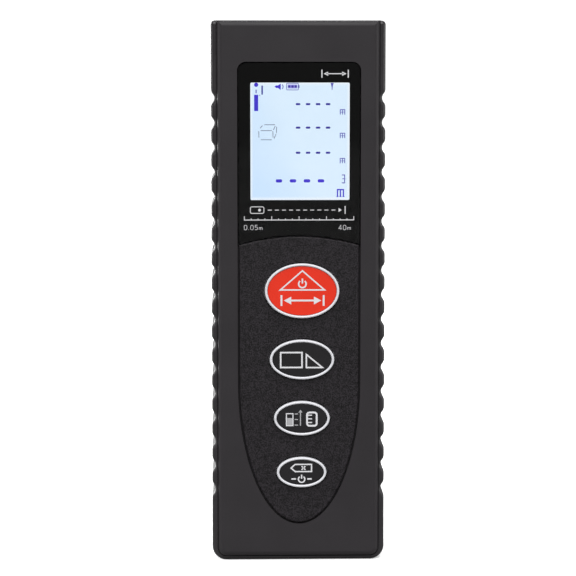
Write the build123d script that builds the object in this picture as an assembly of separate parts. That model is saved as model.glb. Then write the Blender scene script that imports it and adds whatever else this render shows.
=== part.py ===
from build123d import *
import math
import os

# Hand-held laser distance meter, millimetres.
# Frame: it stands on its base, +Z is up, the display faces -Y, origin at the middle of the base.

# ---- whole instrument --------------------------------------------------------------------------
WIDTH = 40.0
HEIGHT = 125.0
FRONT_Y = -11.5
BACK_Y = 11.5

# ---- allowances for cutting and joining --------------------------------------------------------
CUT = 1.0
JOIN = 0.2
FAR = 150.0

# ---- rubber band round the sides and the base --------------------------------------------------
BAND_T = 1.2
BAND_BASE_T = 0.9
BAND_FACE_Y = 10.2
BAND_CORNER_R = 3.3
BAND_TOP_R = 1.0
BAND_EDGE_R = 0.9
NOTCH_COUNT = 17
NOTCH_Z_LOW = 16.9
NOTCH_PITCH = 5.657
NOTCH_DEPTH = 0.75
NOTCH_HOLLOW_R = 1.6
NOTCH_SHOULDER_R = 1.5

# ---- two-piece housing -------------------------------------------------------------------------
CORE_HALF_X = WIDTH / 2 - BAND_T
FACE_INSET = 0.25
FACE_EDGE_R = 1.3
STEP_Y = 9.8
WALL = 1.6
CAVITY_HALF_X = CORE_HALF_X - WALL
CAVITY_Z = (3.0, HEIGHT - 1.8)
FRONT_FLOOR_BACK_Y = -9.25
REAR_WALL_INNER_Y = 9.9
LIP_T = 0.7
LIP_Y = (-0.8, 0.8)
LIP_CORNER_R = 0.05
LIP_GAP = 0.1

# ---- recess that takes the window and the keypad plate -----------------------------------------
PANEL_X = 0.17
PANEL_HALF_X = 14.13
PANEL_TOP_Z = 115.59
PANEL_CORNER_R = 2.0
PANEL_SIDE_LOW_Z = 41.8
PANEL_TIP_Z = 8.80
RECESS_FLOOR_Y = -10.25
ARCH_R = 49.0
ARCH_TOP_Z = 75.80
ARCH_GAP = 0.08
WINDOW_GAP = 0.10
WINDOW_Y = (-11.45, -10.50)
MASK_Y = (-10.50, -10.40)
TAPE_Y = (-10.40, RECESS_FLOOR_Y)
KEYPAD_GAP = 0.42
KEYPAD_Y = (-11.40, RECESS_FLOOR_Y)
VIEW_X = (-10.95, 11.72)
VIEW_Z = (84.12, 110.88)
VIEW_HOUSING_MARGIN = 0.8
VIEW_TAPE_MARGIN = 0.9
TAPE_INSET = 0.3

# ---- keys: centre x, centre z, outer width, outer height ---------------------------------------
KEYS = {
    "measure": (0.84, 63.28, 17.09, 12.60),
    "area": (0.82, 47.37, 14.81, 9.19),
    "reference": (0.79, 33.68, 12.85, 7.99),
    "clear": (0.73, 21.05, 11.45, 7.05),
}
KEY_GAP = 0.30
KEY_TOP_Y = -12.25
KEY_RIM = 0.56
KEY_RIM_EDGE_R = 0.24
INLAY_Y = (-12.00, -11.30)
INLAY_GAP = 0.06
FLANGE_Y = (-9.20, -8.60)
FLANGE_OVER = 0.90
BOSS_Y = (-8.60, -6.60)
BOSS_SHARE = 0.45
PILL_Y = (-6.60, -6.30)
MAT_Y = (-6.20, -5.40)
MAT_COLLAR_Y = (-7.20, -6.20)
MAT_HOLE_GAP = 0.40
MAT_COLLAR_T = 0.50

# ---- main circuit board ------------------------------------------------------------------------
BOARD_Y = (-5.40, -4.20)
BOARD_HALF_X = 16.4
BOARD_Z = (9.0, 117.6)
BOARD_SCREWS = [(-14.4, 76.8), (14.4, 76.8), (-13.2, 11.4), (13.2, 11.4)]
BOARD_SCREW_R = 0.80
BOARD_SCREW_TIP_Y = -8.4
BOARD_HOLE_END_Y = -8.8
BOARD_BOSS_R = 1.8
BOARD_HEAD_R = 1.5
BOARD_HEAD_TOP_Y = -3.1

# ---- parts on the board ------------------------------------------------------------------------
SOUNDER = (9.0, 71.2)
SOUNDER_R = 4.2
SOUNDER_BACK_Y = -2.0
SOUND_HOLE_R = 0.6
SHIELD_X = (-12.0, 1.5)
SHIELD_Z = (71.5, 86.5)
SHIELD_BACK_Y = -2.1
SHIELD_T = 0.2

# ---- display stack -----------------------------------------------------------------------------
LCD_X = 0.20
LCD_HALF_X = 13.3
LCD_Z = (80.9, 114.3)
LCD_FRONT_SHEET_Z = 82.6
LCD_Y = (-9.10, -8.35, -7.60)
POLARIZER_Y = (-9.20, -9.10)
GUIDE_Y = (-7.50, -5.90)
FRAME_Y = (-9.20, -5.40)
FRAME_WALL = 0.80

# ---- housing screws ----------------------------------------------------------------------------
HOUSING_SCREWS = [(-14.4, 120.0), (14.4, 120.0), (-14.0, 6.2), (14.0, 6.2)]
HOUSING_SCREW_R = 1.0
HOUSING_SCREW_TIP_Y = -7.0
HOUSING_HOLE_END_Y = -7.5
HOUSING_BOSS_R = 2.2
SCREW_CLEARANCE = 0.15
HEAD_R = 1.8
HEAD_RECESS_R = 1.9
HEAD_Y = (9.3, 10.7)
CROSS_HALF_WIDTH = 0.2

# ---- battery bay -------------------------------------------------------------------------------
BAY_HALF_X = 11.2
BAY_Z = (14.2, 64.4)
BAY_FLOOR_Y = (-2.0, -0.9)
BAY_WALL = 1.4
LEDGE_Y = (8.5, 9.9)
LEDGE_HALF_X = 14.6
LEDGE_Z = (10.4, 68.6)
CELL_X = 5.6
CELL_Y = 4.45
CELL_R = 5.25
CELL_BODY = 43.7
CELL_NUB = 0.8
CELL_Z_LOW = 17.0
PLATE_T = 0.3
PLATE_INNER_X = 1.4
PLATE_OUTER_X = 10.0
LEG_HALF_X = 1.0
LEG_SLOT_HALF_X = 1.3
LEG_SLOT_TALL = 0.5
SPRING_WIRE_R = 0.25

# ---- battery door ------------------------------------------------------------------------------
DOOR_HALF_X = 13.0
DOOR_Y = (10.0, 11.4)
DOOR_TOP_Z = 67.0
DOOR_AXIS = (10.7, 12.7)
DOOR_PIN_R = 0.50
DOOR_PIN_LENGTH = 1.2
DOOR_TAB_HALF_X = 3.0
DOOR_TAB_RISE = 2.0
SOCKET_R = 0.55
SOCKET_DEPTH = 1.3
POCKET_HALF_X = 13.2
POCKET_Z = (11.85, 67.2)
THUMB_HALF_X = 3.2
THUMB_RISE = 2.4

# ---- optics ------------------------------------------------------------------------------------
RECEIVER = (-5.2, 3.0)
EMITTER = (7.2, 3.2)
BLOCK_Z = (90.0, 119.4)
RECEIVER_TUBE_R = 6.4
RECEIVER_BORE_R = 5.3
EMITTER_TUBE_R = 3.9
EMITTER_BORE_R = 3.05
LENS_Z = 113.0
BEZEL_HALF_X = 13.2
BEZEL_Y = (-4.6, 9.0)
BEZEL_Z = (122.3, 123.2, 124.8)
BEZEL_GAP = 0.05
BEZEL_FLANGE = 0.8
BEZEL_FLANGE_ROOM = 1.2
BEZEL_CORNER_R = 3.0
RECEIVER_PORT_R = 5.2
EMITTER_PORT_R = 2.3
PORT_STEP = 0.75
FLANGE_BACK_Y = -2.9
OPTICS_SCREWS = [(-13.6, 96.0), (-13.6, 114.0), (13.2, 105.0)]
OPTICS_SCREW_R = 0.7
OPTICS_HEAD_R = 1.3
OPTICS_HEAD_TOP_Y = -1.9

# ---- rating label on the back ------------------------------------------------------------------
LABEL_HALF_X = 13.0
LABEL_Z = (73.5, 111.5)
LABEL_Y = (11.30, 11.42)
LABEL_CORNER_R = 1.5
LABEL_GAP = 0.2


def block(x, y, z):
    """Box between pairs of limits on each axis."""
    size = (x[1] - x[0], y[1] - y[0], z[1] - z[0])
    middle = ((x[0] + x[1]) / 2, (y[0] + y[1]) / 2, (z[0] + z[1]) / 2)
    return Pos(*middle) * Box(*size)


def slab(sketch, y):
    """Sketch drawn in X and Z, made solid between two depths."""
    return extrude(Plane((0, y[1], 0), x_dir=(1, 0, 0), z_dir=(0, -1, 0)) * sketch, amount=y[1] - y[0])


def rod_y(x, z, radius, y):
    """Round bar along Y."""
    return slab(Pos(x, z) * Circle(radius), y)


def rod_z(centre, radius, z):
    """Round bar along Z."""
    return extrude(Plane.XY.offset(z[0]) * Pos(*centre) * Circle(radius), amount=z[1] - z[0])


def rod_x(y, z, radius, x):
    """Round bar along X."""
    return extrude(Plane.YZ.offset(x[0]) * Pos(y, z) * Circle(radius), amount=x[1] - x[0])


def rounded(x, z, radius):
    """Rectangle in X and Z with its corners rounded."""
    middle = ((x[0] + x[1]) / 2, (z[0] + z[1]) / 2)
    return Pos(*middle) * RectangleRounded(x[1] - x[0], z[1] - z[0], radius)


def upright(half_x, low, corner_r, top_r):
    """Outline of the instrument: low corners and top corners have their own radii."""
    outline = Pos(0, (low + HEIGHT) / 2) * Rectangle(2 * half_x, HEIGHT - low)
    rows = outline.vertices().group_by(Axis.Y)
    outline = fillet(rows[0], corner_r)
    if top_r:
        outline = fillet(outline.vertices().group_by(Axis.Y)[-1], top_r)
    return outline


# ---- band --------------------------------------------------------------------------------------
def notch(side, z):
    """One scallop: a hollow arc with a rounded shoulder each side, open to the outside."""
    face = WIDTH / 2
    reach = NOTCH_HOLLOW_R + NOTCH_SHOULDER_R
    half = math.sqrt(reach ** 2 - (reach - NOTCH_DEPTH) ** 2)
    share = NOTCH_SHOULDER_R / reach
    blend = (face - NOTCH_SHOULDER_R + (reach - NOTCH_DEPTH) * share, half * (1 - share))
    lean = math.acos((reach - NOTCH_DEPTH) / reach) / 2
    over = (
        face - NOTCH_SHOULDER_R + NOTCH_SHOULDER_R * math.cos(lean),
        half - NOTCH_SHOULDER_R * math.sin(lean),
    )

    def at(point, flip):
        return (side * point[0], z + flip * point[1])

    outline = [
        ThreePointArc(at((face, half), -1), at(over, -1), at(blend, -1)),
        ThreePointArc(at(blend, -1), at((face - NOTCH_DEPTH, 0), 1), at(blend, 1)),
        ThreePointArc(at(blend, 1), at(over, 1), at((face, half), 1)),
        Line(at((face, half), 1), at((face + 1, half), 1)),
        Line(at((face + 1, half), 1), at((face + 1, half), -1)),
        Line(at((face + 1, half), -1), at((face, half), -1)),
    ]
    return make_face(Curve() + outline)


def bumper_band():
    """Soft U that wraps both sides and the base, scalloped for grip."""
    outline = upright(WIDTH / 2, 0, BAND_CORNER_R, BAND_TOP_R)
    for side in (-1, 1):
        for row in range(NOTCH_COUNT):
            outline -= notch(side, NOTCH_Z_LOW + row * NOTCH_PITCH)
    band = slab(outline, (-BAND_FACE_Y, BAND_FACE_Y))
    rims = band.edges().filter_by_position(Axis.Y, -BAND_FACE_Y - 0.01, -BAND_FACE_Y + 0.01)
    rims += band.edges().filter_by_position(Axis.Y, BAND_FACE_Y - 0.01, BAND_FACE_Y + 0.01)
    band = fillet(rims, BAND_EDGE_R)
    core = upright(CORE_HALF_X, BAND_BASE_T, BAND_CORNER_R - BAND_T, 0)
    core += Pos(0, HEIGHT) * Rectangle(2 * CORE_HALF_X, 4)
    return band - slab(core, (-FAR, FAR))


# ---- panel outlines ----------------------------------------------------------------------------
def panel(gap):
    """Recess outline, shrunk by a gap: straight sides, small top corners, half-ellipse foot."""
    half = PANEL_HALF_X - gap
    top = PANEL_TOP_Z - gap
    sides = Pos(PANEL_X, (PANEL_SIDE_LOW_Z + top) / 2) * Rectangle(2 * half, top - PANEL_SIDE_LOW_Z)
    sides = fillet(sides.vertices().group_by(Axis.Y)[-1], PANEL_CORNER_R - gap)
    foot = Ellipse(half, PANEL_SIDE_LOW_Z - PANEL_TIP_Z - gap)
    return sides + Pos(PANEL_X, PANEL_SIDE_LOW_Z) * foot


def arch(grow):
    """Disc whose top edge divides the window from the keypad plate."""
    return Pos(PANEL_X, ARCH_TOP_Z - ARCH_R) * Circle(ARCH_R + grow)


def window_outline(inset):
    return panel(WINDOW_GAP + inset) - arch(ARCH_GAP + inset)


def view_opening(grow):
    return rounded((VIEW_X[0] - grow, VIEW_X[1] + grow), (VIEW_Z[0] - grow, VIEW_Z[1] + grow), 0.3)


def key_ellipse(name, grow=0.0, share=1.0):
    x, z, width, height = KEYS[name]
    return Pos(x, z) * Ellipse(width / 2 * share + grow, height / 2 * share + grow)


def key_holes():
    holes = Sketch()
    for name in KEYS:
        holes += key_ellipse(name, KEY_GAP)
    return holes


# ---- housing -----------------------------------------------------------------------------------
def housing_blank():
    """Closed outer form of both halves: core inside the band, raised rounded faces front and back."""
    corner_r = BAND_CORNER_R - BAND_T
    faces = upright(CORE_HALF_X - FACE_INSET, BAND_BASE_T + FACE_INSET, corner_r - FACE_INSET, 0)
    body = slab(faces, (FRONT_Y, BACK_Y))
    rims = body.edges().filter_by_position(Axis.Y, FRONT_Y - 0.01, FRONT_Y + 0.01)
    rims += body.edges().filter_by_position(Axis.Y, BACK_Y - 0.01, BACK_Y + 0.01)
    body = fillet(rims, FACE_EDGE_R)
    core = upright(CORE_HALF_X, BAND_BASE_T, corner_r, 0)
    return body + slab(core, (-STEP_Y, STEP_Y))


def bezel_opening(grow, y):
    deep = BEZEL_Y[1] - BEZEL_Y[0] + 2 * grow
    outline = RectangleRounded(2 * (BEZEL_HALF_X + grow), deep, BEZEL_CORNER_R + grow)
    sketch = Plane.XY.offset(y[0]) * Pos(0, (BEZEL_Y[0] + BEZEL_Y[1]) / 2) * outline
    return extrude(sketch, amount=y[1] - y[0])


def front_housing():
    """Front half: recess, display opening, key holes and screw bosses."""
    half = housing_blank() & block((-FAR, FAR), (-FAR, 0), (-FAR, FAR))
    half -= block((-CAVITY_HALF_X, CAVITY_HALF_X), (FRONT_FLOOR_BACK_Y, CUT), CAVITY_Z)
    half -= slab(panel(0), (FRONT_Y - CUT, RECESS_FLOOR_Y))
    half -= slab(view_opening(VIEW_HOUSING_MARGIN), (FRONT_Y - CUT, 0))
    half -= slab(key_holes(), (FRONT_Y - CUT, FRONT_FLOOR_BACK_Y + CUT))
    half -= bezel_opening(BEZEL_GAP, (CAVITY_Z[1] - CUT, HEIGHT + CUT))
    for x, z in HOUSING_SCREWS:
        half += rod_y(x, z, HOUSING_BOSS_R, (FRONT_FLOOR_BACK_Y, 0))
        half -= rod_y(x, z, HOUSING_SCREW_R, (HOUSING_HOLE_END_Y, CUT))
    for x, z in BOARD_SCREWS:
        half += rod_y(x, z, BOARD_BOSS_R, (FRONT_FLOOR_BACK_Y, BOARD_Y[0]))
        half -= rod_y(x, z, BOARD_SCREW_R, (BOARD_HOLE_END_Y, BOARD_Y[0] + CUT))
    return half


def bay_walls():
    """Tub that carries the two cells, with a ledge round its mouth for the door."""
    outer = (-BAY_HALF_X - BAY_WALL, BAY_HALF_X + BAY_WALL)
    height = (BAY_Z[0] - BAY_WALL, BAY_Z[1] + BAY_WALL)
    tub = block(outer, (BAY_FLOOR_Y[0], REAR_WALL_INNER_Y + JOIN), height)
    tub += block((-LEDGE_HALF_X, LEDGE_HALF_X), (LEDGE_Y[0], REAR_WALL_INNER_Y + JOIN), LEDGE_Z)
    return tub


def seam_lip():
    """Thin rim on the rear half that locates inside the front half."""
    outer = rounded((-CAVITY_HALF_X, CAVITY_HALF_X), CAVITY_Z, LIP_CORNER_R)
    inner_half_x = CAVITY_HALF_X - LIP_T
    inner_z = (CAVITY_Z[0] + LIP_T, CAVITY_Z[1] - LIP_T)
    inner = rounded((-inner_half_x, inner_half_x), inner_z, LIP_CORNER_R)
    lip = slab(outer - inner, LIP_Y)
    for x, z in HOUSING_SCREWS:
        lip -= rod_y(x, z, HOUSING_BOSS_R + LIP_GAP, (LIP_Y[0] - CUT, 0))
    return lip - bezel_opening(BEZEL_FLANGE_ROOM, (CAVITY_Z[1] - 2 * CUT, HEIGHT))


def rear_housing():
    """Rear half: battery bay, door pocket with hinge sockets, label recess and screw bosses."""
    half = housing_blank() & block((-FAR, FAR), (0, FAR), (-FAR, FAR))
    half -= block((-CAVITY_HALF_X, CAVITY_HALF_X), (-CUT, REAR_WALL_INNER_Y), CAVITY_Z)
    half += seam_lip()
    half += bay_walls()
    half -= block((-BAY_HALF_X, BAY_HALF_X), (BAY_FLOOR_Y[1], BACK_Y + CUT), BAY_Z)
    half -= block((-POCKET_HALF_X, POCKET_HALF_X), (LEDGE_Y[1], BACK_Y + CUT), POCKET_Z)
    thumb_z = (POCKET_Z[1] - CUT, POCKET_Z[1] + THUMB_RISE)
    half -= block((-THUMB_HALF_X, THUMB_HALF_X), (LEDGE_Y[1], BACK_Y + CUT), thumb_z)
    socket_end = POCKET_HALF_X + SOCKET_DEPTH
    half -= rod_x(*DOOR_AXIS, SOCKET_R, (-socket_end, socket_end))
    for side in (-1, 1):
        slot_x = (side * CELL_X - LEG_SLOT_HALF_X, side * CELL_X + LEG_SLOT_HALF_X)
        half -= block(slot_x, (BAY_FLOOR_Y[0] - CUT, 0), (BAY_Z[1] - LEG_SLOT_TALL, BAY_Z[1]))
    half -= bezel_opening(BEZEL_GAP, (CAVITY_Z[1] - CUT, HEIGHT + CUT))
    label_z = (LABEL_Z[0] - LABEL_GAP, LABEL_Z[1] + LABEL_GAP)
    label_x = (-LABEL_HALF_X - LABEL_GAP, LABEL_HALF_X + LABEL_GAP)
    half -= slab(rounded(label_x, label_z, LABEL_CORNER_R + LABEL_GAP), (LABEL_Y[0], BACK_Y + CUT))
    for x, z in HOUSING_SCREWS:
        half += rod_y(x, z, HOUSING_BOSS_R, (0, REAR_WALL_INNER_Y + JOIN))
        half -= rod_y(x, z, HOUSING_SCREW_R + SCREW_CLEARANCE, (-CUT, BACK_Y + CUT))
        half -= rod_y(x, z, HEAD_RECESS_R, (HEAD_Y[0], BACK_Y + CUT))
    return half


# ---- panel parts -------------------------------------------------------------------------------
def display_window():
    """Clear plate over the display, its front edge slightly broken."""
    plate = slab(window_outline(0), WINDOW_Y)
    rim = plate.edges().filter_by_position(Axis.Y, WINDOW_Y[0] - 0.01, WINDOW_Y[0] + 0.01)
    return chamfer(rim, 0.15)


def window_mask():
    """Black print behind the window, open over the display."""
    return slab(window_outline(0) - view_opening(0), MASK_Y)


def window_adhesive():
    """Double-sided tape frame behind the mask."""
    return slab(window_outline(TAPE_INSET) - view_opening(VIEW_TAPE_MARGIN), TAPE_Y)


def keypad_plate():
    """Satin plate round the keys, its front edge rounded."""
    plate = slab(panel(KEYPAD_GAP) & arch(-ARCH_GAP), KEYPAD_Y)
    rim = plate.edges().filter_by_position(Axis.Y, KEYPAD_Y[0] - 0.01, KEYPAD_Y[0] + 0.01)
    plate = fillet(rim, 0.25)
    return plate - slab(key_holes(), (FRONT_Y - CUT, FRONT_FLOOR_BACK_Y))


# ---- keys --------------------------------------------------------------------------------------
def key_cap(name):
    """White cap with a raised rim and a retaining flange behind the housing wall."""
    cap = slab(key_ellipse(name), (KEY_TOP_Y, FLANGE_Y[0]))
    cap -= slab(key_ellipse(name, -KEY_RIM), (KEY_TOP_Y - CUT, INLAY_Y[1]))
    rim = cap.edges().filter_by_position(Axis.Y, KEY_TOP_Y - 0.01, KEY_TOP_Y + 0.01)
    cap = fillet(rim, KEY_RIM_EDGE_R)
    return cap + slab(key_ellipse(name, FLANGE_OVER), FLANGE_Y)


def key_inlay(name):
    """Coloured insert inside the rim, its front edge softened."""
    inlay = slab(key_ellipse(name, -KEY_RIM - INLAY_GAP), INLAY_Y)
    rim = inlay.edges().filter_by_position(Axis.Y, INLAY_Y[0] - 0.01, INLAY_Y[0] + 0.01)
    return fillet(rim, 0.15)


def key_boss(name):
    """Silicone stem that carries the key's push back to the contact pill."""
    return slab(key_ellipse(name, share=BOSS_SHARE), BOSS_Y)


def key_pill(name):
    return slab(key_ellipse(name, -0.3, BOSS_SHARE), PILL_Y)


def keypad_mat():
    """Silicone sheet on the board, with a collar round each stem."""
    mat = slab(rounded((-12.4, 12.4), (14.5, 72.5), 2.0), MAT_Y)
    for name in KEYS:
        mat += slab(key_ellipse(name, MAT_HOLE_GAP + MAT_COLLAR_T, BOSS_SHARE), MAT_COLLAR_Y)
    for name in KEYS:
        mat -= slab(key_ellipse(name, MAT_HOLE_GAP, BOSS_SHARE), (MAT_COLLAR_Y[0] - CUT, MAT_Y[1] + CUT))
    return mat


# ---- board and what is on it -------------------------------------------------------------------
def main_pcb():
    board = slab(rounded((-BOARD_HALF_X, BOARD_HALF_X), BOARD_Z, 1.5), BOARD_Y)
    for x, z in BOARD_SCREWS:
        board -= rod_y(x, z, BOARD_SCREW_R, (BOARD_Y[0] - CUT, BOARD_Y[1] + CUT))
    for x, z in OPTICS_SCREWS:
        board -= rod_y(x, z, OPTICS_SCREW_R, (BOARD_Y[0] - CUT, BOARD_Y[1] + CUT))
    return board


def key_contacts():
    """Gold pads under the pills."""
    return Compound([slab(key_ellipse(name, share=BOSS_SHARE), (-5.45, BOARD_Y[0])) for name in KEYS])


def mcu_chip():
    """Square controller package with leads on two sides."""
    chip = block((-4.0, 4.0), (BOARD_Y[1] + 0.1, -2.9), (40.0, 48.0))
    for row in range(8):
        z = 40.7 + row * 0.94
        chip += block((-5.0, 5.0), (BOARD_Y[1], BOARD_Y[1] + 0.3), (z - 0.2, z + 0.2))
    return chip


def smd_components():
    """Two rows of small chip parts beside the controller."""
    parts = []
    for column in (-9.5, 9.5):
        for row in range(7):
            z = 34.0 + row * 3.4
            parts.append(block((column - 1.0, column + 1.0), (BOARD_Y[1], -3.4), (z - 0.6, z + 0.6)))
    return Compound(parts)


def buzzer():
    """Round sounder with its sound hole."""
    can = rod_y(*SOUNDER, SOUNDER_R, (BOARD_Y[1], SOUNDER_BACK_Y))
    return can - rod_y(*SOUNDER, SOUND_HOLE_R, (SOUNDER_BACK_Y - 0.8, SOUNDER_BACK_Y + CUT))


def shield_can():
    """Folded metal cover over the ranging circuit."""
    inner_x = (SHIELD_X[0] + SHIELD_T, SHIELD_X[1] - SHIELD_T)
    inner_z = (SHIELD_Z[0] + SHIELD_T, SHIELD_Z[1] - SHIELD_T)
    can = block(SHIELD_X, (BOARD_Y[1], SHIELD_BACK_Y), SHIELD_Z)
    return can - block(inner_x, (BOARD_Y[1] - CUT, SHIELD_BACK_Y - SHIELD_T), inner_z)


# ---- display stack -----------------------------------------------------------------------------
def lcd_glass():
    """Two glass sheets; the rear one runs lower as the contact ledge."""
    x = (LCD_X - LCD_HALF_X, LCD_X + LCD_HALF_X)
    glass = block(x, (LCD_Y[0], LCD_Y[1]), (LCD_FRONT_SHEET_Z, LCD_Z[1]))
    return glass + block(x, (LCD_Y[1], LCD_Y[2]), LCD_Z)


def lcd_polarizer():
    """Film that shows the picture."""
    return block((LCD_X - 12.6, LCD_X + 12.6), POLARIZER_Y, (83.2, 113.2))


def backlight_guide():
    """Clear light guide with a wedge back."""
    return block((LCD_X - 13.0, LCD_X + 13.0), GUIDE_Y, (83.2, 112.8))


def backlight_leds():
    lamps = []
    for x in (-8.0, 0.0, 8.0):
        lamps.append(block((LCD_X + x - 1.5, LCD_X + x + 1.5), (-7.3, -6.3), (112.8, 114.0)))
    return Compound(lamps)


def backlight_frame():
    """White tray that holds the glass and the light guide."""
    inner_x = (LCD_X - LCD_HALF_X - 0.1, LCD_X + LCD_HALF_X + 0.1)
    inner_z = (LCD_Z[0] - 0.1, LCD_Z[1] + 0.1)
    outer_x = (inner_x[0] - FRAME_WALL, inner_x[1] + FRAME_WALL)
    outer_z = (inner_z[0] - FRAME_WALL, inner_z[1] + FRAME_WALL)
    tray = block(outer_x, FRAME_Y, outer_z)
    tray -= block(inner_x, (FRAME_Y[0] - 1, GUIDE_Y[1]), inner_z)
    return tray - block((LCD_X - 12.7, LCD_X + 12.7), (-7, -5), (81.1, 82.8))


def zebra_connector():
    """Rubber strip that joins the glass ledge to the board."""
    return block((LCD_X - 12.5, LCD_X + 12.5), (LCD_Y[2], BOARD_Y[0]), (81.2, 82.6))


# ---- optics ------------------------------------------------------------------------------------
def optics_block():
    """Moulded carrier: receiving tube with its cone, emitter tube and a screw flange."""
    body = rod_z(RECEIVER, RECEIVER_TUBE_R, BLOCK_Z)
    body += rod_z(EMITTER, EMITTER_TUBE_R, (97.0, BLOCK_Z[1]))
    body += block((RECEIVER[0], EMITTER[0]), (1.2, 5.2), (100.0, 117.0))
    body += block((-15.6, 15.2), (BOARD_Y[1], FLANGE_BACK_Y), (92.0, 117.0))
    body += block((5.2, 9.2), (-3.0, 1.0), (98.0, 117.0))
    cone = Cone(1.4, 4.8, LENS_Z - 93.6)
    body -= Pos(RECEIVER[0], RECEIVER[1], (LENS_Z + 93.6) / 2) * cone
    body -= rod_z(RECEIVER, RECEIVER_BORE_R, (LENS_Z, BLOCK_Z[1] + 1))
    body -= rod_z(RECEIVER, 2.8, (BLOCK_Z[0] - 1, 93.6))
    body -= rod_z(EMITTER, EMITTER_BORE_R, (96.0, BLOCK_Z[1] + 1))
    for x, z in OPTICS_SCREWS:
        body -= rod_y(x, z, OPTICS_SCREW_R, (BOARD_Y[1] - CUT, FLANGE_BACK_Y + CUT))
    return body


def receiver_lens():
    """Plano-convex collecting lens."""
    radius = RECEIVER_BORE_R - 0.05
    edge = 1.6
    dome = 1.6
    ball_r = (radius ** 2 + dome ** 2) / (2 * dome)
    disc = rod_z(RECEIVER, radius, (LENS_Z, LENS_Z + edge + dome))
    ball = Pos(RECEIVER[0], RECEIVER[1], LENS_Z + edge + dome - ball_r) * Sphere(ball_r)
    return disc & ball


def lens_retainer():
    ring = rod_z(RECEIVER, RECEIVER_BORE_R, (LENS_Z + 2.05, LENS_Z + 3.8))
    return ring - rod_z(RECEIVER, RECEIVER_BORE_R - 0.6, (LENS_Z, LENS_Z + 6))


def laser_sleeve():
    """Brass barrel that aligns the diode with its lens."""
    return rod_z(EMITTER, EMITTER_BORE_R, (98.2, 112.0)) - rod_z(EMITTER, 2.2, (98, 113))


def emitter_lens():
    disc = rod_z(EMITTER, EMITTER_BORE_R - 0.05, (112.0, 113.8))
    return disc & (Pos(EMITTER[0], EMITTER[1], 113.8 - 7.0) * Sphere(7.0))


def laser_diode():
    """Metal can on its flange, with three leads."""
    diode = rod_z(EMITTER, 2.8, (97.0, 98.2)) + rod_z(EMITTER, 2.05, (98.2, 100.6))
    for step in range(3):
        turn = math.radians(120 * step + 90)
        foot = (EMITTER[0] + math.cos(turn), EMITTER[1] + math.sin(turn))
        diode += rod_z(foot, 0.22, (92.5, 97.0))
    return diode


def photodiode():
    return rod_z(RECEIVER, 2.7, (89.6, 92.6)) + rod_z(RECEIVER, 2.2, (92.6, 93.2))


def receiver_board():
    """Small board across the foot of the receiving tube."""
    return block((-12.4, 2.0), (-2.7, 9.3), (88.6, 89.6))


def optics_bezel():
    """Black end plate with one opening for each beam path."""
    plate = bezel_opening(0, (BEZEL_Z[0], BEZEL_Z[2]))
    plate += bezel_opening(BEZEL_FLANGE, (BEZEL_Z[0], BEZEL_Z[1]))
    for centre, radius in ((RECEIVER, RECEIVER_PORT_R), (EMITTER, EMITTER_PORT_R)):
        plate -= rod_z(centre, radius, (BEZEL_Z[0] - CUT, HEIGHT))
        plate -= rod_z(centre, radius + PORT_STEP, (BEZEL_Z[0] - CUT, BEZEL_Z[1] + 0.3))
    return plate


def end_window(centre, radius):
    """Clear disc seated behind an opening of the end plate."""
    return rod_z(centre, radius + 0.7, (BEZEL_Z[0] + 0.2, BEZEL_Z[1] + 0.3))


# ---- power -------------------------------------------------------------------------------------
def cell(side):
    """Small round cell; the left one has its button up, the right one has it down."""
    centre = (side * CELL_X, CELL_Y)
    if side < 0:
        body = rod_z(centre, CELL_R, (CELL_Z_LOW, CELL_Z_LOW + CELL_BODY))
        nub = (CELL_Z_LOW + CELL_BODY, CELL_Z_LOW + CELL_BODY + CELL_NUB)
    else:
        body = rod_z(centre, CELL_R, (CELL_Z_LOW + CELL_NUB, CELL_Z_LOW + CELL_NUB + CELL_BODY))
        nub = (CELL_Z_LOW, CELL_Z_LOW + CELL_NUB)
    body = fillet(body.edges().filter_by(GeomType.CIRCLE), 0.5)
    return body + rod_z(centre, 1.9, nub)


def contact_plate(x, z):
    return block(x, (-0.7, 8.3), z)


def contact_bump(side, z_plate, z_tip):
    """Truncated cone pressed out of a contact plate."""
    height = abs(z_tip - z_plate)
    low_r, high_r = (2.6, 1.5) if z_tip > z_plate else (1.5, 2.6)
    return Pos(side * CELL_X, CELL_Y, (z_plate + z_tip) / 2) * Cone(low_r, high_r, height)


def contact_spring(side, z_low, z_high):
    """Coil between a contact plate and the flat end of a cell."""
    low = z_low + SPRING_WIRE_R
    path = Helix(0.72, z_high - z_low - 2 * SPRING_WIRE_R, 2.6)
    path = Pos(side * CELL_X, CELL_Y, low) * path
    start = Plane(origin=path @ 0, z_dir=path % 0)
    return sweep(start * Circle(SPRING_WIRE_R), path=path)


def terminal_leg(side):
    """Tab that runs forward from a plate, through the bay floor, to the board."""
    across = (side * CELL_X - LEG_HALF_X, side * CELL_X + LEG_HALF_X)
    return block(across, (BOARD_Y[1], -0.6), (BAY_Z[1] - PLATE_T, BAY_Z[1]))


def positive_terminal():
    plate = contact_plate((-PLATE_OUTER_X, -PLATE_INNER_X), (BAY_Z[1] - PLATE_T, BAY_Z[1]))
    plate += terminal_leg(-1)
    return plate + contact_bump(-1, BAY_Z[1] - PLATE_T, CELL_Z_LOW + CELL_BODY + CELL_NUB)


def negative_terminal():
    plate = contact_plate((PLATE_INNER_X, PLATE_OUTER_X), (BAY_Z[1] - PLATE_T, BAY_Z[1]))
    plate += terminal_leg(1)
    return plate + contact_spring(1, CELL_Z_LOW + CELL_NUB + CELL_BODY, BAY_Z[1] - PLATE_T + 0.1)


def battery_bridge():
    plate = contact_plate((-PLATE_OUTER_X, PLATE_OUTER_X), (BAY_Z[0], BAY_Z[0] + PLATE_T))
    plate += contact_bump(1, BAY_Z[0] + PLATE_T, CELL_Z_LOW)
    return plate + contact_spring(-1, BAY_Z[0] + PLATE_T - 0.1, CELL_Z_LOW)


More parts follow.
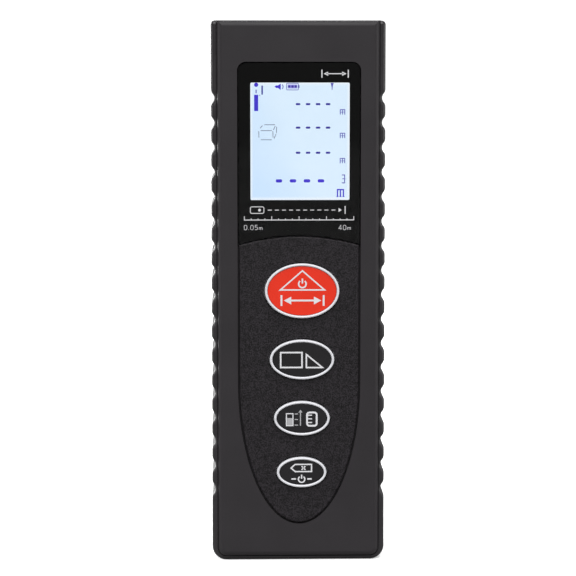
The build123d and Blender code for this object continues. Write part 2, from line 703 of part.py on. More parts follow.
def battery_door():
    """Rear door: flat panel, rounded hinge edge with two pins, thumb tab and grip ribs."""
    axis_y, axis_z = DOOR_AXIS
    knuckle = (DOOR_Y[1] - DOOR_Y[0]) / 2
    door = block((-DOOR_HALF_X, DOOR_HALF_X), DOOR_Y, (axis_z, DOOR_TOP_Z))
    door += rod_x(axis_y, axis_z, knuckle, (-DOOR_HALF_X, DOOR_HALF_X))
    tab_z = (DOOR_TOP_Z - JOIN, DOOR_TOP_Z + DOOR_TAB_RISE)
    door += block((-DOOR_TAB_HALF_X, DOOR_TAB_HALF_X), DOOR_Y, tab_z)
    reach = DOOR_HALF_X + DOOR_PIN_LENGTH
    door += rod_x(axis_y, axis_z, DOOR_PIN_R, (-reach, reach))
    for row in range(5):
        z = DOOR_TOP_Z - 5.0 - row * 1.6
        door -= block((-5.0, 5.0), (DOOR_Y[1] - 0.35, DOOR_Y[1] + 1), (z - 0.4, z + 0.4))
    return door


def door_foam_pad():
    return block((-1.7, 1.7), (DOOR_Y[0] - 1.0, DOOR_Y[0]), (22.0, 58.0))


# ---- fasteners and label -----------------------------------------------------------------------
def cross_slot(x, z, top_y, depth, reach):
    """Cross recess sunk into a screw head."""
    y = (top_y - depth, top_y + CUT)
    half = CROSS_HALF_WIDTH
    arms = block((x - reach, x + reach), y, (z - half, z + half))
    return arms + block((x - half, x + half), y, (z - reach, z + reach))


def housing_screws():
    screws = []
    for x, z in HOUSING_SCREWS:
        screw = rod_y(x, z, HEAD_R, HEAD_Y)
        screw += rod_y(x, z, HOUSING_SCREW_R, (HOUSING_SCREW_TIP_Y, HEAD_Y[0]))
        screws.append(screw - cross_slot(x, z, HEAD_Y[1], 0.7, 1.1))
    return Compound(screws)


def pcb_screws():
    screws = []
    for x, z in BOARD_SCREWS:
        screw = rod_y(x, z, BOARD_HEAD_R, (BOARD_Y[1], BOARD_HEAD_TOP_Y))
        screw += rod_y(x, z, BOARD_SCREW_R, (BOARD_SCREW_TIP_Y, BOARD_Y[1]))
        screws.append(screw - cross_slot(x, z, BOARD_HEAD_TOP_Y, 0.5, 0.9))
    return Compound(screws)


def optics_screws():
    screws = []
    for x, z in OPTICS_SCREWS:
        screw = rod_y(x, z, OPTICS_HEAD_R, (FLANGE_BACK_Y, OPTICS_HEAD_TOP_Y))
        screw += rod_y(x, z, OPTICS_SCREW_R, (BOARD_Y[0], FLANGE_BACK_Y))
        screws.append(screw - cross_slot(x, z, OPTICS_HEAD_TOP_Y, 0.4, 0.8))
    return Compound(screws)


def rating_label():
    return slab(rounded((-LABEL_HALF_X, LABEL_HALF_X), LABEL_Z, LABEL_CORNER_R), LABEL_Y)


def all_parts():
    parts = {
        "front_housing": front_housing(),
        "rear_housing": rear_housing(),
        "bumper_band": bumper_band(),
        "display_window": display_window(),
        "window_mask": window_mask(),
        "window_adhesive": window_adhesive(),
        "keypad_plate": keypad_plate(),
        "keypad_mat": keypad_mat(),
        "main_pcb": main_pcb(),
        "key_contacts": key_contacts(),
        "mcu_chip": mcu_chip(),
        "smd_components": smd_components(),
        "buzzer": buzzer(),
        "shield_can": shield_can(),
        "lcd_glass": lcd_glass(),
        "lcd_polarizer": lcd_polarizer(),
        "backlight_guide": backlight_guide(),
        "backlight_leds": backlight_leds(),
        "backlight_frame": backlight_frame(),
        "zebra_connector": zebra_connector(),
        "optics_block": optics_block(),
        "receiver_lens": receiver_lens(),
        "lens_retainer": lens_retainer(),
        "laser_sleeve": laser_sleeve(),
        "emitter_lens": emitter_lens(),
        "laser_diode": laser_diode(),
        "photodiode": photodiode(),
        "receiver_board": receiver_board(),
        "optics_bezel": optics_bezel(),
        "receiver_window": end_window(RECEIVER, RECEIVER_PORT_R),
        "emitter_window": end_window(EMITTER, EMITTER_PORT_R),
        "battery_left": cell(-1),
        "battery_right": cell(1),
        "positive_terminal": positive_terminal(),
        "negative_terminal": negative_terminal(),
        "battery_bridge": battery_bridge(),
        "battery_door": battery_door(),
        "door_foam_pad": door_foam_pad(),
        "housing_screws": housing_screws(),
        "pcb_screws": pcb_screws(),
        "optics_screws": optics_screws(),
        "rating_label": rating_label(),
    }
    for name in KEYS:
        parts[name + "_key_cap"] = key_cap(name)
        parts[name + "_key_inlay"] = key_inlay(name)
        parts[name + "_key_boss"] = key_boss(name)
        parts[name + "_key_pill"] = key_pill(name)
    return parts


os.makedirs("parts", exist_ok=True)
for node, shape in all_parts().items():
    export_step(shape, os.path.join("parts", node + ".step"))
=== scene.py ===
"""Laser distance meter: finishes, prints, lit display, stage, light and camera on the CAD frame."""

import math

import bmesh
import bpy
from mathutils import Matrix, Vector


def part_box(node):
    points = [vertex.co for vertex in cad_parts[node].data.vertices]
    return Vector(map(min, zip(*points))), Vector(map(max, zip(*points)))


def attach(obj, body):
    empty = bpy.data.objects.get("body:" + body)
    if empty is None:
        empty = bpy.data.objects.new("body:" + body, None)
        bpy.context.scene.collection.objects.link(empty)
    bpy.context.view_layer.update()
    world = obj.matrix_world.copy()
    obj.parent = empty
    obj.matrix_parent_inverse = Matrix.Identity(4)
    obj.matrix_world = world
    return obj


MM = 0.001

# ---- camera, metres and degrees ----------------------------------------------------------------
CAMERA_DISTANCE = 0.480
CAMERA_ELEVATION = 5.8
CAMERA_AZIMUTH = -1.5
CAMERA_TARGET = Vector((0.0, 0.0, 0.0625))
CAMERA_LENS = 127.40
CAMERA_SHIFT = (-0.0158, 0.0019)

# ---- printed layers: ink, its clearance, and the bay ledge some lie on, millimetres ------------
INK = 0.02
INK_CLEARANCE = 0.004
LEDGE_FACE = 9.90

KEYS = ("measure", "area", "reference", "clear")

# ---- table: how much light it returns, and how far out (metres) --------------------------------
FLOOR_BOUNCE = 0.35
FLOOR_FAR_BOUNCE = 0.24
FLOOR_BRIGHT = 0.016
FLOOR_DIM = 0.045
FLOOR_RADIUS = 3.0
FLOOR_GLOW = 0.35

# ---- light: strengths, and each softbox's place and size (metres) and power (watts) ------------
BACKDROP_STRENGTH = 1.2
AMBIENT_STRENGTH = 0.19
SKY_STRENGTH = 4.1
SKY_SPREAD = 70
SKY_DIRECTION = (0.04, 0.62, -0.78)
SOFTBOXES = {
    "left_rim": ((-0.30, 0.34, 0.12), (0.16, 0.50), 3.2),
    "left_strip": ((-0.44, -0.08, 0.08), (0.10, 0.50), 0.8),
    "right_rim": ((0.32, 0.40, 0.12), (0.12, 0.40), 0.2),
    "right_strip": ((0.45, -0.10, 0.08), (0.28, 0.45), 1.0),
    "top_rim": ((0.0, 0.42, 0.50), (0.50, 0.25), 2.0),
}

# ---- display field, and how far its contents are shifted, millimetres --------------------------
VIEW_X = (-10.95, 11.72)
VIEW_Z = (84.12, 110.88)
CONTENTS_X = 0.17
LEVEL_BEHIND = 0.01

# ---- scale numerals: height, stroke (millimetres) and gap as a share of the height -------------
FIGURE_HEIGHT = 1.08
FIGURE_STROKE = 0.10
FIGURE_GAP = 0.34

# ---- cell sleeve, millimetres: the thin ring, and where the pale part starts -------------------
SLEEVE_RING = (46.4, 47.3)
SLEEVE_PALE_LOW = 47.8

# ---- colours, linear ---------------------------------------------------------------------------
BODY = (0.0206, 0.0183, 0.0206)
KEYPAD = (0.0106, 0.0091, 0.0108)
WHITE_INK = (0.64, 0.64, 0.66)
KEY_WHITE = (0.60, 0.60, 0.63)
KEY_RED = (0.66, 0.026, 0.008)
KEY_DARK = (0.0115, 0.0108, 0.0120)
LCD_MIDDLE = (0.71, 0.86, 1.0)
LCD_LOW_LEFT = (0.58, 0.77, 1.0)
SEGMENT = (0.055, 0.032, 0.64)
SEGMENT_DEEP = (0.040, 0.032, 0.34)
SEGMENT_FAINT = (0.11, 0.11, 0.50)
SEGMENT_PALE = (0.30, 0.28, 0.78)


# ==== node graphs ===============================================================================
class Graph:
    """One material's node tree, with short calls for the nodes used here."""

    def __init__(self, name):
        self.material = bpy.data.materials.new(name)
        self.material.use_nodes = True
        self.tree = self.material.node_tree
        self.shader = self.tree.nodes["Principled BSDF"]
        self.place = self.add("ShaderNodeTexCoord").outputs["Object"]

    def add(self, kind, **settings):
        node = self.tree.nodes.new(kind)
        for key, value in settings.items():
            setattr(node, key, value)
        return node

    def feed(self, node, socket, value):
        """Sets a socket, or links it when the value is another node's output."""
        if isinstance(value, bpy.types.NodeSocket):
            self.tree.links.new(value, node.inputs[socket])
        elif isinstance(value, tuple) and len(value) == 3 and node.inputs[socket].type == "RGBA":
            node.inputs[socket].default_value = (*value, 1.0)
        else:
            node.inputs[socket].default_value = value

    def set(self, **values):
        """Sets sockets of the shader: base_color=... stands for Base Color."""
        for key, value in values.items():
            name = key.replace("_", " ").title()
            self.feed(self.shader, name, value)

    def stretched(self, factors):
        node = self.add("ShaderNodeMapping")
        self.feed(node, "Vector", self.place)
        self.feed(node, "Scale", factors)
        return node.outputs["Vector"]

    def noise(self, size_mm, detail=2.0, vector=None):
        """Noise whose blobs are about this wide."""
        node = self.add("ShaderNodeTexNoise")
        self.feed(node, "Vector", vector or self.place)
        self.feed(node, "Scale", 1.0 / (size_mm * MM))
        self.feed(node, "Detail", detail)
        return node.outputs["Fac"]

    def cells(self, size_mm):
        """Distance to the nearest of points this far apart."""
        node = self.add("ShaderNodeTexVoronoi")
        self.feed(node, "Vector", self.place)
        self.feed(node, "Scale", 1.0 / (size_mm * MM))
        return node.outputs["Distance"]

    def spread(self, value, low, high, out_low, out_high):
        """Maps low..high of a value to out_low..out_high."""
        node = self.add("ShaderNodeMapRange")
        self.feed(node, "Value", value)
        self.feed(node, "From Min", low)
        self.feed(node, "From Max", high)
        self.feed(node, "To Min", out_low)
        self.feed(node, "To Max", out_high)
        return node.outputs["Result"]

    def mix(self, share, first, second):
        node = self.add("ShaderNodeMix", data_type="RGBA")
        self.feed(node, "Factor", share)
        for socket, value in zip((6, 7), (first, second)):
            if isinstance(value, bpy.types.NodeSocket):
                self.tree.links.new(value, node.inputs[socket])
            else:
                node.inputs[socket].default_value = (*value, 1.0)
        return node.outputs[2]

    def math(self, operation, first, second):
        node = self.add("ShaderNodeMath", operation=operation)
        self.feed(node, 0, first)
        self.feed(node, 1, second)
        return node.outputs["Value"]

    def axis(self, letter):
        """One coordinate of the place, in millimetres."""
        node = self.add("ShaderNodeSeparateXYZ")
        self.feed(node, "Vector", self.place)
        return self.math("MULTIPLY", node.outputs[letter], 1000.0)

    def bump(self, height, depth_mm, strength=1.0):
        node = self.add("ShaderNodeBump")
        self.feed(node, "Height", height)
        self.feed(node, "Distance", depth_mm * MM)
        self.feed(node, "Strength", strength)
        return node.outputs["Normal"]


def tone(colour, factor):
    return tuple(channel * factor for channel in colour)


# ==== materials =================================================================================
def moulded(name, colour, roughness, grain_mm=0.35, grain_depth=0.010, mottle=0.10, specular=0.5):
    """Moulded plastic or rubber: fine spark-eroded grain, faint mottle and uneven sheen."""
    graph = Graph(name)
    grain = graph.noise(grain_mm, 3.0)
    cloud = graph.noise(grain_mm * 40, 2.0)
    both = graph.math("ADD", graph.math("MULTIPLY", grain, 0.6), graph.math("MULTIPLY", cloud, 0.4))
    share = graph.spread(both, 0.35, 0.65, 0.0, 1.0)
    graph.set(
        base_color=graph.mix(share, tone(colour, 1 - mottle), tone(colour, 1 + mottle)),
        roughness=graph.spread(cloud, 0.3, 0.7, roughness - 0.05, roughness + 0.05),
        normal=graph.bump(grain, grain_depth),
    )
    graph.shader.inputs["Specular IOR Level"].default_value = specular
    return graph.material


def keypad_finish():
    """Dark plate with a fine sand-like grain and a few pale specks."""
    graph = Graph("keypad_finish")
    fine = graph.noise(0.26, 3.0)
    patch = graph.noise(0.9, 2.0)
    pale_specks = graph.spread(graph.cells(1.7), 0.0, 0.075, 1.0, 0.0)
    both = graph.math("ADD", fine, graph.math("MULTIPLY", patch, 0.25))
    share = graph.spread(both, 0.54, 0.71, 0.0, 1.0)
    grain = graph.mix(share, tone(KEYPAD, 0.15), tone(KEYPAD, 2.10))
    graph.set(
        # a few pale specks are lightened into the colour here, at random places
        base_color=graph.mix(graph.math("MULTIPLY", pale_specks, 0.5), grain, (0.12, 0.12, 0.12)),
        roughness=graph.spread(fine, 0.3, 0.7, 0.40, 0.60),
        normal=graph.bump(fine, 0.030, 0.9),
    )
    graph.shader.inputs["Specular IOR Level"].default_value = 0.22
    return graph.material


def metal(name, colour, roughness, along=(1, 1, 14)):
    """Drawn or plated metal with fine streaks and a slightly uneven tint."""
    graph = Graph(name)
    streaks = graph.noise(0.6, 4.0, graph.stretched(along))
    tint = graph.noise(6.0, 2.0)
    graph.set(
        base_color=graph.mix(tint, tone(colour, 0.86), tone(colour, 1.08)),
        roughness=graph.spread(streaks, 0.3, 0.7, roughness - 0.06, roughness + 0.10),
        normal=graph.bump(streaks, 0.004),
    )
    graph.shader.inputs["Metallic"].default_value = 1.0
    return graph.material


def clear(name, tint, roughness=0.02, index=1.49):
    """Clear plastic or glass with a trace of handling haze."""
    graph = Graph(name)
    haze = graph.noise(5.0, 3.0)
    graph.set(
        base_color=graph.mix(haze, tint, tone(tint, 0.97)),
        roughness=graph.spread(haze, 0.4, 0.75, roughness, roughness + 0.02),
    )
    graph.shader.inputs["Transmission Weight"].default_value = 1.0
    graph.shader.inputs["IOR"].default_value = index
    return graph.material


def display_film():
    """Lit display field: pale blue, bluer low on the left, brighter along its edges."""
    graph = Graph("display_film")
    across = graph.spread(graph.axis("X"), VIEW_X[0], VIEW_X[1], 0.0, 1.0)
    up = graph.spread(graph.axis("Z"), VIEW_Z[0], VIEW_Z[1], 0.0, 1.0)
    from_corner = graph.math("ADD", across, graph.math("MULTIPLY", up, 0.55))
    corner = graph.spread(from_corner, 0.0, 0.75, 1.0, 0.0)
    field = graph.mix(corner, LCD_MIDDLE, LCD_LOW_LEFT)
    side = graph.math("ABSOLUTE", graph.math("SUBTRACT", across, 0.5), 0.0)
    tall = graph.math("ABSOLUTE", graph.math("SUBTRACT", up, 0.5), 0.0)
    rim = graph.spread(graph.math("MAXIMUM", side, tall), 0.470, 0.50, 0.0, 0.75)
    glow = graph.mix(rim, field, (0.93, 0.97, 1.0))
    cloud = graph.noise(7.0, 2.0)
    lit = graph.mix(graph.spread(cloud, 0.3, 0.7, 0.0, 0.10), glow, (0.80, 0.90, 1.0))
    graph.set(base_color=(0.02, 0.02, 0.02), emission_color=lit)
    graph.shader.inputs["Emission Strength"].default_value = 1.06
    graph.shader.inputs["Roughness"].default_value = 0.35
    return graph.material


def lit_ink(name, colour):
    """Display segment, coloured by the light behind it."""
    graph = Graph(name)
    wash = graph.noise(1.4, 2.0)
    shade = graph.mix(wash, tone(colour, 0.88), tone(colour, 1.10))
    graph.set(base_color=(0.01, 0.01, 0.02), emission_color=shade)
    graph.shader.inputs["Emission Strength"].default_value = 1.0
    graph.shader.inputs["Specular IOR Level"].default_value = 0.0
    return graph.material


def ink(name, colour):
    """Pad-printed ink, a little uneven in cover."""
    graph = Graph(name)
    cover = graph.noise(0.30, 3.0)
    graph.set(
        base_color=graph.mix(cover, tone(colour, 0.94), tone(colour, 1.0)),
        roughness=graph.spread(cover, 0.3, 0.7, 0.40, 0.53),
        normal=graph.bump(cover, 0.003),
    )
    return graph.material


def circuit_board():
    """Green solder mask over copper tracks and plated holes."""
    graph = Graph("circuit_board")
    tracks = graph.add("ShaderNodeTexBrick")
    graph.feed(tracks, "Vector", graph.stretched((1, 0, 1)))
    graph.feed(tracks, "Scale", 420.0)
    graph.feed(tracks, "Mortar Size", 0.06)
    copper = graph.noise(1.6, 1.0)
    plated = graph.spread(copper, 0.45, 0.55, 0.0, 1.0)
    share = graph.math("MULTIPLY", tracks.outputs["Fac"], plated)
    pads = graph.spread(graph.cells(2.6), 0.10, 0.13, 1.0, 0.0)
    mask = graph.mix(share, (0.010, 0.10, 0.035), (0.030, 0.22, 0.080))
    graph.set(
        base_color=graph.mix(pads, mask, (0.72, 0.60, 0.34)),
        roughness=graph.spread(copper, 0.3, 0.7, 0.28, 0.40),
        normal=graph.bump(share, 0.02),
    )
    return graph.material


def cell_wrap():
    """Printed shrink sleeve: dark lower part, pale band near the top, thin ring between."""
    graph = Graph("cell_wrap")
    height = graph.axis("Z")
    scuff = graph.noise(2.0, 3.0)
    upper = graph.spread(height, SLEEVE_PALE_LOW, SLEEVE_PALE_LOW + 0.2, 0.0, 1.0)
    ring_foot = graph.spread(height, SLEEVE_RING[0], SLEEVE_RING[0] + 0.1, 0.0, 1.0)
    ring_top = graph.spread(height, SLEEVE_RING[1] - 0.1, SLEEVE_RING[1], 1.0, 0.0)
    ring = graph.math("MULTIPLY", ring_foot, ring_top)
    sleeve = graph.mix(upper, (0.025, 0.08, 0.22), (0.62, 0.64, 0.66))
    sleeve = graph.mix(ring, sleeve, (0.75, 0.58, 0.20))
    graph.set(
        base_color=graph.mix(graph.spread(scuff, 0.4, 0.8, 0.0, 0.05), sleeve, (0.5, 0.5, 0.52)),
        roughness=graph.spread(scuff, 0.3, 0.7, 0.31, 0.38),
        normal=graph.bump(scuff, 0.002),
    )
    graph.shader.inputs["Metallic"].default_value = 0.25
    return graph.material


def foam():
    """Open-cell foam: painted shade darkens the pores, paler walls between them."""
    graph = Graph("foam")
    pores = graph.cells(0.5)
    pore_shading = graph.spread(pores, 0.1, 0.6, 0.0, 1.0)
    graph.set(
        # painted shade: the colour darkens into each pore, where shade would fall inside the hole
        base_color=graph.mix(pore_shading, (0.015, 0.015, 0.017), (0.07, 0.07, 0.075)),
        roughness=graph.spread(pores, 0.0, 0.6, 0.95, 0.80),
        normal=graph.bump(pores, 0.12),
    )
    return graph.material


def zebra_rubber():
    """Alternate conducting and insulating layers."""
    graph = Graph("zebra_rubber")
    wave = graph.add("ShaderNodeTexWave", bands_direction="X")
    graph.feed(wave, "Vector", graph.place)
    graph.feed(wave, "Scale", 900.0)
    graph.set(
        base_color=graph.mix(wave.outputs["Fac"], (0.55, 0.20, 0.17), (0.03, 0.03, 0.03)),
        roughness=graph.spread(wave.outputs["Fac"], 0.0, 1.0, 0.75, 0.55),
    )
    return graph.material


def paint(node, material):
    """Gives a CAD node its finish through its material slots."""
    slots = node.material_slots
    if not slots:
        node.data.materials.append(material)
    for slot in slots:
        slot.material = material


def finish_nodes(nodes):
    body = moulded("body_finish", BODY, 0.50, 0.28, 0.006, 0.08, 0.26)
    band = moulded("band_finish", tone(BODY, 0.82), 0.34, 0.24, 0.003, 0.08, 0.46)
    key_white = moulded("key_white_finish", KEY_WHITE, 0.38, 0.30, 0.003, 0.02)
    key_dark = moulded("key_dark_finish", KEY_DARK, 0.46, 0.26, 0.010, 0.22, 0.20)
    silicone = moulded("silicone_finish", (0.26, 0.27, 0.28), 0.62, 0.30, 0.010, 0.06)
    carbon = moulded("carbon_finish", (0.012, 0.012, 0.012), 0.70, 0.20, 0.020, 0.25)
    chip = moulded("chip_finish", (0.014, 0.014, 0.015), 0.55, 0.15, 0.010, 0.20)
    steel = metal("steel_finish", (0.58, 0.58, 0.59), 0.30)
    nickel = metal("nickel_finish", (0.70, 0.68, 0.63), 0.20)
    gilt = metal("gilt_finish", (0.83, 0.60, 0.24), 0.22)
    optics = moulded("optics_finish", (0.010, 0.010, 0.011), 0.60, 0.30, 0.015, 0.20)
    lens = clear("lens_finish", (0.93, 0.96, 1.0), 0.01, 1.52)
    table = {
        "front_housing": body,
        "rear_housing": body,
        "battery_door": moulded("door_finish", tone(BODY, 0.94), 0.46, 0.28, 0.008, 0.08, 0.30),
        "bumper_band": band,
        "display_window": clear("window_finish", (0.97, 0.98, 0.99), 0.02),
        "window_mask": moulded("mask_finish", (0.0062, 0.0056, 0.0105), 0.34, 0.40, 0.001, 0.05),
        "window_adhesive": moulded("tape_finish", (0.01, 0.01, 0.01), 0.80, 0.30, 0.010, 0.10),
        "keypad_plate": keypad_finish(),
        "keypad_mat": silicone,
        "main_pcb": circuit_board(),
        "key_contacts": gilt,
        "mcu_chip": chip,
        "smd_components": moulded("chip_part_finish", (0.34, 0.24, 0.13), 0.45, 0.30, 0.008, 0.15),
        "buzzer": moulded("buzzer_finish", (0.012, 0.012, 0.013), 0.35, 0.25, 0.006, 0.15),
        "shield_can": steel,
        "lcd_glass": clear("lcd_glass_finish", (0.92, 0.97, 0.98), 0.01, 1.52),
        "lcd_polarizer": display_film(),
        "backlight_guide": clear("guide_finish", (0.97, 0.98, 1.0), 0.12),
        "backlight_leds": moulded("lamp_finish", (0.85, 0.80, 0.45), 0.30, 0.25, 0.003, 0.05),
        "backlight_frame": moulded("tray_finish", (0.75, 0.75, 0.74), 0.50, 0.30, 0.006, 0.03),
        "zebra_connector": zebra_rubber(),
        "optics_block": optics,
        "receiver_lens": lens,
        "lens_retainer": optics,
        "laser_sleeve": metal("brass_finish", (0.72, 0.50, 0.20), 0.28),
        "emitter_lens": lens,
        "laser_diode": gilt,
        "photodiode": gilt,
        "receiver_board": circuit_board(),
        "optics_bezel": moulded("bezel_finish", (0.012, 0.012, 0.013), 0.34, 0.30, 0.004, 0.12),
        "receiver_window": clear("receiver_window_finish", (0.86, 0.90, 0.97), 0.01, 1.52),
        "emitter_window": clear("emitter_window_finish", (0.95, 0.88, 0.86), 0.01, 1.52),
        "battery_left": cell_wrap(),
        "battery_right": cell_wrap(),
        "positive_terminal": nickel,
        "negative_terminal": nickel,
        "battery_bridge": nickel,
        "door_foam_pad": foam(),
        "housing_screws": metal("black_screw_finish", (0.10, 0.10, 0.105), 0.32),
        "pcb_screws": steel,
        "optics_screws": steel,
        "rating_label": moulded("label_finish", (0.42, 0.43, 0.44), 0.42, 0.40, 0.003, 0.05),
    }
    for key in KEYS:
        table[key + "_key_cap"] = key_white
        table[key + "_key_inlay"] = key_dark
        table[key + "_key_boss"] = silicone
        table[key + "_key_pill"] = carbon
    table["measure_key_inlay"] = moulded("key_red_finish", KEY_RED, 0.42, 0.26, 0.006, 0.05, 0.30)
    for name, material in table.items():
        paint(nodes[name], material)


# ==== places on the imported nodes, millimetres ===================================================
def front(node):
    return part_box(node)[0][1] / MM


def rear(node):
    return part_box(node)[1][1] / MM


def middle(node):
    """Centre of a node in X and Z."""
    low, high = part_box(node)
    return ((low[0] + high[0]) / 2 / MM, (low[2] + high[2]) / 2 / MM)


# ==== flat shapes: lists of (x, z) in millimetres ===============================================
def arc(centre, radius, start, end, steps=24):
    """Points along a circular arc, angles in degrees."""
    points = []
    for step in range(steps + 1):
        turn = math.radians(start + (end - start) * step / steps)
        points.append((centre[0] + radius * math.cos(turn), centre[1] + radius * math.sin(turn)))
    return points


def box_points(x, z):
    return [(x[0], z[0]), (x[1], z[0]), (x[1], z[1]), (x[0], z[1])]


def pill(x, z, radius):
    """Rectangle with rounded corners."""
    corners = (
        ((x[1] - radius, z[1] - radius), 0),
        ((x[0] + radius, z[1] - radius), 90),
        ((x[0] + radius, z[0] + radius), 180),
        ((x[1] - radius, z[0] + radius), 270),
    )
    points = []
    for centre, start in corners:
        points += arc(centre, radius, start, start + 90, 6)
    return points


def disc(centre, radius):
    return arc(centre, radius, 0, 345, 23)


# Strokes of each figure on a body one unit high, and its width.
FIGURES = {
    "0": ([(pill((0.0, 0.58), (0.0, 1.0), 0.28), True)], 0.58),
    "4": ([([(0.46, 0.0), (0.46, 1.0), (0.0, 0.30), (0.62, 0.30)], False)], 0.62),
    "5": (
        [([(0.52, 1.0), (0.08, 1.0), (0.04, 0.55)] + arc((0.26, 0.32), 0.30, 120, -140, 12), False)],
        0.56,
    ),
    ".": ([([(0.02, 0.0), (0.02, 0.12)], False)], 0.10),
    "m": (
        [
            ([(0.0, 0.0), (0.0, 0.54)], False),
            ([(0.0, 0.40)] + arc((0.17, 0.35), 0.16, 130, 0, 6) + [(0.33, 0.0)], False),
            ([(0.33, 0.40)] + arc((0.50, 0.35), 0.16, 130, 0, 6) + [(0.66, 0.0)], False),
        ],
        0.66,
    ),
}


class Sheet:
    """A print: flat shapes in one plane, with the thickness of ink, on one body."""

    def __init__(self, name, material, body, depth, slot, facing=-1, shift=0.0):
        self.mesh = bmesh.new()
        self.name = name
        self.material = material
        self.body = body
        self.slot = slot
        self.shift = shift
        self.near = depth + facing * (INK + INK_CLEARANCE)
        self.far = depth + facing * INK_CLEARANCE

    def corner(self, point, depth):
        return self.mesh.verts.new(((point[0] + self.shift) * MM, depth * MM, point[1] * MM))

    def fill(self, *loops, at=(0, 0)):
        """Plates with these outlines."""
        for loop in loops:
            moved = [(x + at[0], z + at[1]) for x, z in loop]
            front = [self.corner(point, self.near) for point in moved]
            back = [self.corner(point, self.far) for point in moved]
            self.mesh.faces.new(front)
            self.mesh.faces.new(list(reversed(back)))
            for here in range(len(loop)):
                there = (here + 1) % len(loop)
                self.mesh.faces.new((front[here], back[here], back[there], front[there]))

    def line(self, points, width, closed=False, at=(0, 0)):
        """A mitred stroke along points, as one closed strip."""
        path = [Vector((x + at[0], z + at[1])) for x, z in points]
        count = len(path)
        rings = []
        for i, point in enumerate(path):
            into = (point - path[i - 1]).normalized() if closed or i else None
            out = (path[(i + 1) % count] - point).normalized() if closed or i < count - 1 else None
            into = into or out
            out = out or into
            across = Vector((-into.y - out.y, into.x + out.x)).normalized()
            reach = width / 2 / max(0.35, across.dot(Vector((-into.y, into.x))))
            left = point + across * reach
            right = point - across * reach
            rings.append([self.corner(side, depth) for side, depth in (
                (left, self.near), (right, self.near), (right, self.far), (left, self.far))])
        for i in range(count if closed else count - 1):
            here, there = rings[i], rings[(i + 1) % count]
            for edge in range(4):
                after = (edge + 1) % 4
                self.mesh.faces.new((here[edge], here[after], there[after], there[edge]))
        if not closed:
            self.mesh.faces.new(rings[0])
            self.mesh.faces.new(list(reversed(rings[-1])))

    def figures(self, words, left, low):
        """Numerals and the letter m, in plain strokes from the left end of the base line."""
        for letter in words:
            paths, width = FIGURES[letter]
            for points, closed in paths:
                placed = [(left + x * FIGURE_HEIGHT, low + z * FIGURE_HEIGHT) for x, z in points]
                self.line(placed, FIGURE_STROKE, closed)
            left += (width + FIGURE_GAP) * FIGURE_HEIGHT

    def done(self):
        bmesh.ops.recalc_face_normals(self.mesh, faces=self.mesh.faces[:])
        data = bpy.data.meshes.new(self.name)
        self.mesh.to_mesh(data)
        self.mesh.free()
        piece = bpy.data.objects.new(self.name, data)
        bpy.context.scene.collection.objects.link(piece)
        piece.data.materials.append(self.material)
        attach(piece, self.body)


# ==== prints on the window ======================================================================
def window_prints(white, grey):
    """Scale with its numbers, pictograms of source, beam and target, and a span arrow."""
    face = front("display_window")
    sheet = Sheet("window_print", grey, "instrument", face, slot="key_white")
    sheet.line([(-12.46, 79.58), (12.77, 79.58)], 0.20)
    for tick in range(17):
        x = -12.38 + tick * 25.07 / 16
        top = 80.42 if tick % 4 == 0 else 79.95
        sheet.line([(x, 79.68), (x, top)], 0.16)
    sheet.figures("0.05m", -12.42, 77.32)
    sheet.figures("40m", 9.24, 77.30)
    sheet.line(pill((-11.0, -7.9), (81.10, 82.60), 0.35), 0.17, closed=True)
    sheet.fill(disc((-8.9, 81.85), 0.32))
    for step in range(10):
        x = -7.0 + step * 1.62
        sheet.line([(x, 81.85), (x + 0.9, 81.85)], 0.18)
    sheet.fill([(9.2, 81.40), (9.95, 81.85), (9.2, 82.30)])
    sheet.line([(10.7, 80.95), (10.7, 82.75)], 0.22)
    sheet.done()
    mark = Sheet("window_mark", white, "instrument", face, slot="key_white")
    mark.line([(5.35, 112.0), (5.35, 113.8)], 0.24)
    mark.line([(11.35, 112.0), (11.35, 113.8)], 0.24)
    mark.line([(6.3, 112.9), (10.4, 112.9)], 0.20)
    mark.fill([(5.75, 112.9), (6.75, 113.38), (6.75, 112.42)])
    mark.fill([(10.95, 112.9), (9.95, 112.42), (9.95, 113.38)])
    mark.done()


# ==== legends on the keys (shapes about the key's centre) =======================================
def legend(name, key, material):
    """A print on one key's inlay, which moves with the key."""
    return Sheet(name, material, key + "_key", front(key + "_key_inlay"), slot="key_white")


def measure_legend(white):
    """Triangle with a standby sign, and a span between two bars."""
    centre = middle("measure_key_inlay")
    sheet = legend("measure_legend", "measure", white)
    sheet.line([(-5.02, 0.24), (0.06, 4.66), (5.14, 0.24)], 0.32, closed=True, at=centre)
    sheet.line(arc((0.06, 1.62), 0.86, 128, 412, 26), 0.34, at=centre)
    sheet.line([(0.06, 1.72), (0.06, 2.86)], 0.34, at=centre)
    for side in (-1, 1):
        sheet.line([(0.10 + side * 4.85, -3.45), (0.10 + side * 4.85, -0.95)], 0.42, at=centre)
        tip = 0.10 + side * 4.30
        foot = 0.10 + side * 2.60
        sheet.fill([(tip, -2.2), (foot, -1.30), (foot, -3.10)], at=centre)
    sheet.line([(-2.50, -2.2), (2.70, -2.2)], 0.42, at=centre)
    sheet.done()


def area_legend(white):
    """Square and right-angled triangle."""
    centre = middle("area_key_inlay")
    sheet = legend("area_legend", "area", white)
    sheet.line(box_points((-4.92, -0.01), (-1.80, 1.66)), 0.36, closed=True, at=centre)
    sheet.line([(1.00, 1.20), (1.00, -1.84), (4.70, -1.84)], 0.34, closed=True, at=centre)
    sheet.done()


